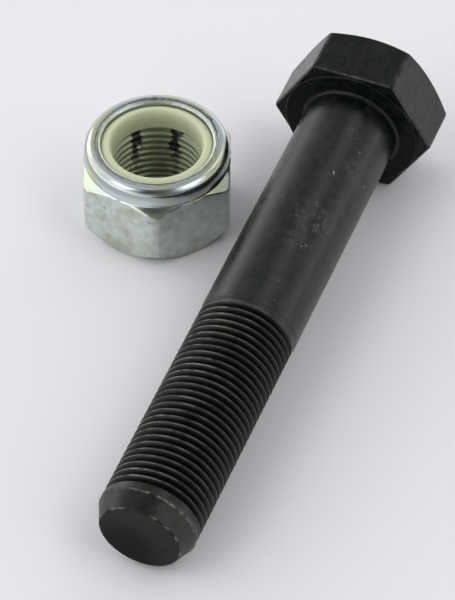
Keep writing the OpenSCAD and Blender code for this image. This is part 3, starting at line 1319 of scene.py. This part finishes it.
@dataclass
class Nut:
    """Lock nut: a hexagon with a collar rolled in over a ring of nylon."""

    centre: Vector
    turn: float = -8.6
    across: float = 26.8
    corner_round: float = 1.94
    corner_r: float = 15.173
    edge_ease: float = 0.22
    base_r: float = 12.95
    base_angle: float = 52
    height: float = 17.7
    hex_height: float = 12.8
    shoulder_angle: float = 36
    collar_r: float = 13.4
    wall: float = 1.4
    lip_r: float = 10.35
    lip_height: float = 0.8
    lip_drop: float = 0.2
    lip_edge_r: float = 0.3
    roll_r: float = 1.7
    roll_inset: float = 0.1
    roll_lean: float = 8
    fold: tuple[Station, ...] = ((0.03, 0.07), (0.08, 0.05), (0.14, 0))
    ring_seat: float = 13
    minor_r: float = 8.188
    major_r: float = 9.05
    mouth_r: float = 9.35
    pitch: float = 1.5
    thread_phase: float = 0
    tap_turns: int = 11
    tap_overshoot: float = 1.2
    tap_sink: float = 0.1
    tap_edge: float = 0.06
    tap_step: float = 0.05
    countersink_past: Station = (0.6, 0.35)
    ring_bore_r: float = 8.2
    ring_rise: float = 0.6
    ring_clearance: float = 0.1
    ring_edge_r: float = 0.85
    ring_edge_depth: float = 2.3
    ring_slope_r: float = 1.7
    ring_foot: Station = (0.2, 0.3)
    countersink_angle: float = 30
    sides: int = 120
    place: Matrix = field(init=False)

    def __post_init__(self) -> None:
        """Works out where the nut stands."""
        turned = Matrix.Rotation(math.radians(self.turn), 4, "Z")
        self.place = Matrix.Translation(self.centre) @ turned

    @classmethod
    def standing(cls, mount: dict) -> "Nut":
        """Finds the place of the nut from the record's mount on its bore."""
        x, y, _ = mount["pos_m"]
        return cls(centre=Vector((x, y, 0)))

    @property
    def lip_top(self) -> float:
        """Height of the lip, a little under the top of the roll."""
        return self.height - self.lip_drop

    @property
    def lip_bottom(self) -> float:
        """Height of the lip's underside."""
        return self.lip_top - self.lip_height

    def outside(self) -> Shape:
        """Models the nut with no hole: the hexagon, the shoulder and the rolled collar.

        Returns:
            The closed outside.
        """
        tan_shoulder = math.tan(math.radians(self.shoulder_angle))
        outer_r = self.corner_r + CUTTER_REACH
        outer_foot = (outer_r - self.base_r) * math.tan(math.radians(self.base_angle))
        collar_foot = self.hex_height + (self.corner_r - self.collar_r) * tan_shoulder
        inner_end = 180 - math.degrees(math.asin(1 - self.lip_drop / self.roll_r))
        centre = (self.collar_r - self.roll_inset - self.roll_r, self.height - self.roll_r)
        roll = arc(centre, self.roll_r, self.roll_lean, inner_end, 16)
        lean = math.radians(self.roll_lean)
        drop = ((self.roll_r + self.roll_inset) * math.cos(lean) - self.roll_r) / math.sin(lean)
        fold_r = roll[-1][0]
        profile = [
            (self.base_r, 0),
            (outer_r, outer_foot),
            (outer_r, collar_foot - (outer_r - self.collar_r) * tan_shoulder),
            (self.collar_r, collar_foot),
            (self.collar_r, centre[1] - drop),
            *roll,
            *[(fold_r - inwards, self.lip_top - down) for inwards, down in self.fold],
        ]
        low, high = -CUTTER_OVERSHOOT, self.height + CUTTER_OVERSHOOT
        bar = Shape.hexagon("nut_outside", self.across, low, high, self.corner_round)
        bar.combine(Shape.turned("nut_outline", profile, self.sides), Combine.KEEP_COMMON)
        bar.ease_edges(self.edge_ease)
        return bar

    def hollow(self) -> Shape:
        """Models all that is cut from the middle but the thread's groove.

        Returns:
            The cutter.
        """
        entry = (self.mouth_r - self.minor_r) * math.tan(math.radians(self.countersink_angle))
        pocket_r = self.collar_r - self.wall
        edge = self.lip_edge_r
        out, down = self.countersink_past
        profile = [
            (self.mouth_r + out, -down),
            (self.minor_r, entry),
            (self.minor_r, self.ring_seat - entry),
            (self.mouth_r, self.ring_seat),
            (pocket_r, self.ring_seat),
            (pocket_r, self.lip_bottom),
            (self.lip_r, self.lip_bottom),
            *arc((self.lip_r + edge, self.lip_top - edge), edge, 180, 90, 5),
            (self.lip_r + edge * 1.1, self.height + CUTTER_OVERSHOOT),
        ]
        return Shape.turned("nut_hollow", profile, self.sides)

    def thread_profile(self) -> list[Station]:
        """One pitch of the tap that cuts the thread: half a root, a flank, a crest, a flank.

        Returns:
            Radius and rise of each point.
        """
        root_land = self.pitch / 4
        flank_run = (self.major_r - self.minor_r) * math.tan(math.radians(30))
        under = self.minor_r - self.tap_sink
        start, edge, step = root_land / 2, self.tap_edge, self.tap_step
        rise = [
            (under, 0),
            (under, start),
            (self.minor_r + step, start + step),
            (self.major_r - edge, start + flank_run - edge / 2),
            (self.major_r, start + flank_run + step),
        ]
        return rise + [(r, self.pitch - z) for r, z in reversed(rise)]

    def tap(self) -> Shape:
        """Models the tap, which reaches out of the nut below and into the pocket above.

        Returns:
            The tap.
        """
        foot, past_seat = -self.tap_overshoot, self.ring_seat + self.tap_overshoot
        core = self.minor_r - self.tap_sink
        sizes = (self.pitch, foot, self.tap_turns, self.thread_phase, core, self.tap_sink)
        tap = Helix(self.thread_profile(), *sizes).shape("nut_tap")
        with tap.edited(Picked.EDGES):
            tap.cut_level(foot - self.pitch / 2, keep_above=True)
            bpy.ops.mesh.edge_face_add()
            tap.cut_level(past_seat, keep_above=False)
            bpy.ops.mesh.edge_face_add()
            tap.face_outwards()
        return tap

    def ring(self) -> Shape:
        """Models the ring of nylon with its rounded mouth.

        Returns:
            The closed ring.
        """
        outer = self.collar_r - self.wall - self.ring_clearance
        under_lip = self.lip_bottom - self.ring_clearance
        top = under_lip + self.ring_rise
        bulge = self.lip_r - self.ring_clearance
        edge = self.ring_edge_r
        crest_r = self.ring_bore_r + edge
        slope = math.degrees(math.acos((bulge - crest_r) / self.ring_slope_r))
        outward = arc((crest_r, top - self.ring_slope_r), self.ring_slope_r, slope, 90, 10)
        stretch = self.ring_edge_depth / edge
        foot_width, foot_height = self.ring_foot
        mouth = [(r, top + (z - edge) * stretch) for r, z in arc((crest_r, 0), edge, 90, 180, 12)]
        profile = [
            (outer, self.ring_seat),
            (outer, under_lip),
            (bulge, under_lip),
            *outward,
            *mouth[1:],
            (self.ring_bore_r, self.ring_seat + foot_height),
            (self.ring_bore_r + foot_width, self.ring_seat),
        ]
        return Shape.turned("nylon_insert", profile, self.sides, ring=True)

    def build(self) -> None:
        """Models, dresses and places the nut's body and its ring."""
        body = self.outside()
        body.combine(self.hollow(), Combine.CUT)
        body.combine(self.tap(), Combine.CUT)
        body.obj.name = "lock_nut"
        body.placed(self.place, ZincPlate(self).material(), "nut_body", "zinc_plated_steel")
        self.ring().placed(self.place, Nylon(self).material(), "nylon_ring", "nylon")


@dataclass(frozen=True)
class Camera:
    """The camera that the photo's outlines were fitted with."""

    azimuth: float = 22.26
    elevation: float = 47.577
    roll: float = -0.20
    target: Station = (0.005424, 0.007467)
    distance: float = 0.576504
    focal_px: float = 3165.06
    centre_px: Station = (228.50, 298.46)
    frame_px: Station = (455, 600)
    sensor_mm: float = 36

    def build(self) -> None:
        """Makes the scene's camera."""
        turn, rise, roll = (math.radians(a) for a in (self.azimuth, self.elevation, self.roll))
        back = Vector(
            (math.sin(turn) * math.cos(rise), -math.cos(turn) * math.cos(rise), math.sin(rise))
        )
        level = Vector((math.cos(turn), math.sin(turn), 0))
        up = back.cross(level)
        right = math.cos(roll) * level + math.sin(roll) * up
        top = back.cross(right)
        width, height = self.frame_px
        data = bpy.data.cameras.new("camera")
        data.lens = self.focal_px / height * self.sensor_mm
        data.sensor_width = self.sensor_mm
        data.shift_x = -(self.centre_px[0] - width / 2) / height
        data.shift_y = (self.centre_px[1] - height / 2) / height
        camera = bpy.data.objects.new("camera", data)
        camera.matrix_world = Matrix.Translation(
            Vector((*self.target, 0)) + back * self.distance
        ) @ Matrix((right, top, back)).transposed().to_4x4()
        bpy.context.scene.collection.objects.link(camera)
        bpy.context.scene.camera = camera


@dataclass(frozen=True)
class Skyline:
    """How bright the room is all round, at one elevation."""

    elevation: float
    radiance: tuple[float, ...]


@dataclass(frozen=True)
class Window:
    """A bright soft-edged patch in the room: its middle, its half sizes and what it adds."""

    azimuth: float
    elevation: float
    half_width: float
    half_height: float
    radiance: float
    softness: float = 0.25

    def share(self, sheet: Sheet, way: bpy.types.NodeSocket) -> Num:
        """How much a direction looks through the window, from 0 to 1.

        Args:
            sheet: The world's tree.
            way: The direction.

        Returns:
            The share.
        """
        turn, rise = math.radians(self.azimuth), math.radians(self.elevation)
        middle = (math.sin(turn) * math.cos(rise), math.cos(turn) * math.cos(rise), math.sin(rise))
        across = (math.cos(turn), -math.sin(turn), 0)
        upward = Vector(across).cross(Vector(middle))
        ahead = sheet.along(way, middle)
        inside = ahead.step(0.2, 0.3)
        for axis, half in ((across, self.half_width), (upward, self.half_height)):
            off = abs(sheet.along(way, axis) / ahead)
            reach = math.tan(math.radians(half))
            inside = inside * off.step(reach * (1 + self.softness), reach * (1 - self.softness))
        return inside


def level_ring(elevation: float, *radiance: float) -> Skyline:
    """A skyline of radiances at equal turns from -Y by way of -X, +Y and +X."""
    return Skyline(elevation, radiance)


@dataclass(frozen=True)
class Room:
    """The room round the pair: pale walls, windows, a dim ceiling and a dark gap at the camera.

    The radiances began as a fit of the rings and the windows to the brightness of the
    photo. They were rounded, and some of them were then set one by one.
    """

    rings: tuple[Skyline, ...] = (
        level_ring(2, 1.4, 2.2, 2.2, 2.4, 1.5, 1.4, 1.9, 1.9, 1.8, 1.6, 1.0, 0.4),
        level_ring(20, 0.6, 1.7, 1.2, 1.4, 0.8, 1.0, 1.1, 0.9, 0.9, 0.8, 0.3, 0.1),
        level_ring(38, 0.1, 1.0, 1.0, 1.6, 0.9, 0.8, 0.7, 0.8, 0.6, 1.2, 0.4, 0.2),
        level_ring(56, 0.0, 1.2, 1.4, 1.4, 0.9, 0.5, 0.5, 1.2, 0.5, 1.5, 0.3, 0.1),
        level_ring(76, 0.2, 0.3, 0.7, 1.0, 1.0, 0.7, 0.8, 0.6, 0.5, 0.3, 0.2, 0.2),
    )
    windows: tuple[Window, ...] = (
        Window(-140, 46, 13, 14, 1.4),
        Window(107, 42, 12, 13, 1.0),
        Window(-65, 20, 12, 13, 1.85),
        Window(80, 60, 12, 12, 1.7),
        Window(20, 45, 10, 10, 0.7),
    )
    brightest: float = 8

    def light(self) -> None:
        """Lights the world by mixing the rings over the elevation and adding the windows."""
        world = bpy.data.worlds.new("room")
        bpy.context.scene.world = world
        sheet = Sheet(world)
        way = sheet.node("ShaderNodeTexCoord").outputs["Generated"]
        x, y, z = sheet.split(way)
        turn = sheet.maths("ARCTAN2", x, y) / math.tau + 0.5
        rise = sheet.maths("DEGREES", sheet.maths("ARCSINE", z))
        first, *others = self.rings
        level = self.ring(sheet, turn, first)
        below = first.elevation
        for ring in others:
            share = rise.step(below, ring.elevation)
            level = level * (1 - share) + self.ring(sheet, turn, ring) * share
            below = ring.elevation
        level = level * self.brightest
        for window in self.windows:
            level = level + window.share(sheet, way) * window.radiance
        feeds = {"Color": (1, 1, 1), "Strength": level}
        sky = sheet.node("ShaderNodeBackground", {}, feeds)
        sheet.node("ShaderNodeOutputWorld", {}, {"Surface": sky.outputs[0]})

    def ring(self, sheet: Sheet, turn: Num, ring: Skyline) -> Num:
        """The radiance along one ring, as a share of the brightest.

        Args:
            sheet: The world's tree.
            turn: Share of a whole turn, 0 at -Y.
            ring: The ring.

        Returns:
            The share.
        """
        count = len(ring.radiance)
        levels = [*ring.radiance, ring.radiance[0]]
        stops = [(i / count, level / self.brightest) for i, level in enumerate(levels)]
        return sheet.curve(turn, stops)


@dataclass(frozen=True)
class Studio:
    """The pale paper floor and the room round it."""

    floor: Colour = (0.80, 0.79, 0.82)
    half_width: float = 4

    def build(self) -> None:
        """Sets the stage up."""
        self.lay_floor()
        Room().light()

    def lay_floor(self) -> None:
        """Lays the paper floor. From below it lets the view through."""
        Shape.clear_bench()
        bpy.ops.mesh.primitive_plane_add(size=2 * self.half_width, location=(0, 0, 0))
        floor = bpy.context.object
        floor.name = "floor"
        material, sheet = sheet_of("paper_floor")
        paper = sheet.node("ShaderNodeBsdfDiffuse", {}, {"Color": self.floor})
        clear = sheet.node("ShaderNodeBsdfTransparent")
        back = sheet.node("ShaderNodeNewGeometry").outputs["Backfacing"]
        feeds = {"Fac": back, "Shader": paper.outputs[0], "Shader_001": clear.outputs[0]}
        both = sheet.node("ShaderNodeMixShader", {}, feeds)
        sheet.node("ShaderNodeOutputMaterial", {}, {"Surface": both.outputs[0]})
        floor.data.materials.append(material)


def main() -> None:
    """Builds the pair, the stage and the camera."""
    logging.basicConfig(level=logging.INFO, format="%(name)s: %(message)s")
    mounts = {mount["name"]: mount for mount in frame["record"]["mounts"]}
    Bolt.lying(mounts["shank"]).build()
    Nut.standing(mounts["nut_thread"]).build()
    Studio().build()
    Camera().build()
    bpy.context.scene.view_settings.view_transform = "Standard"


if __name__ == "__main__":
    main()
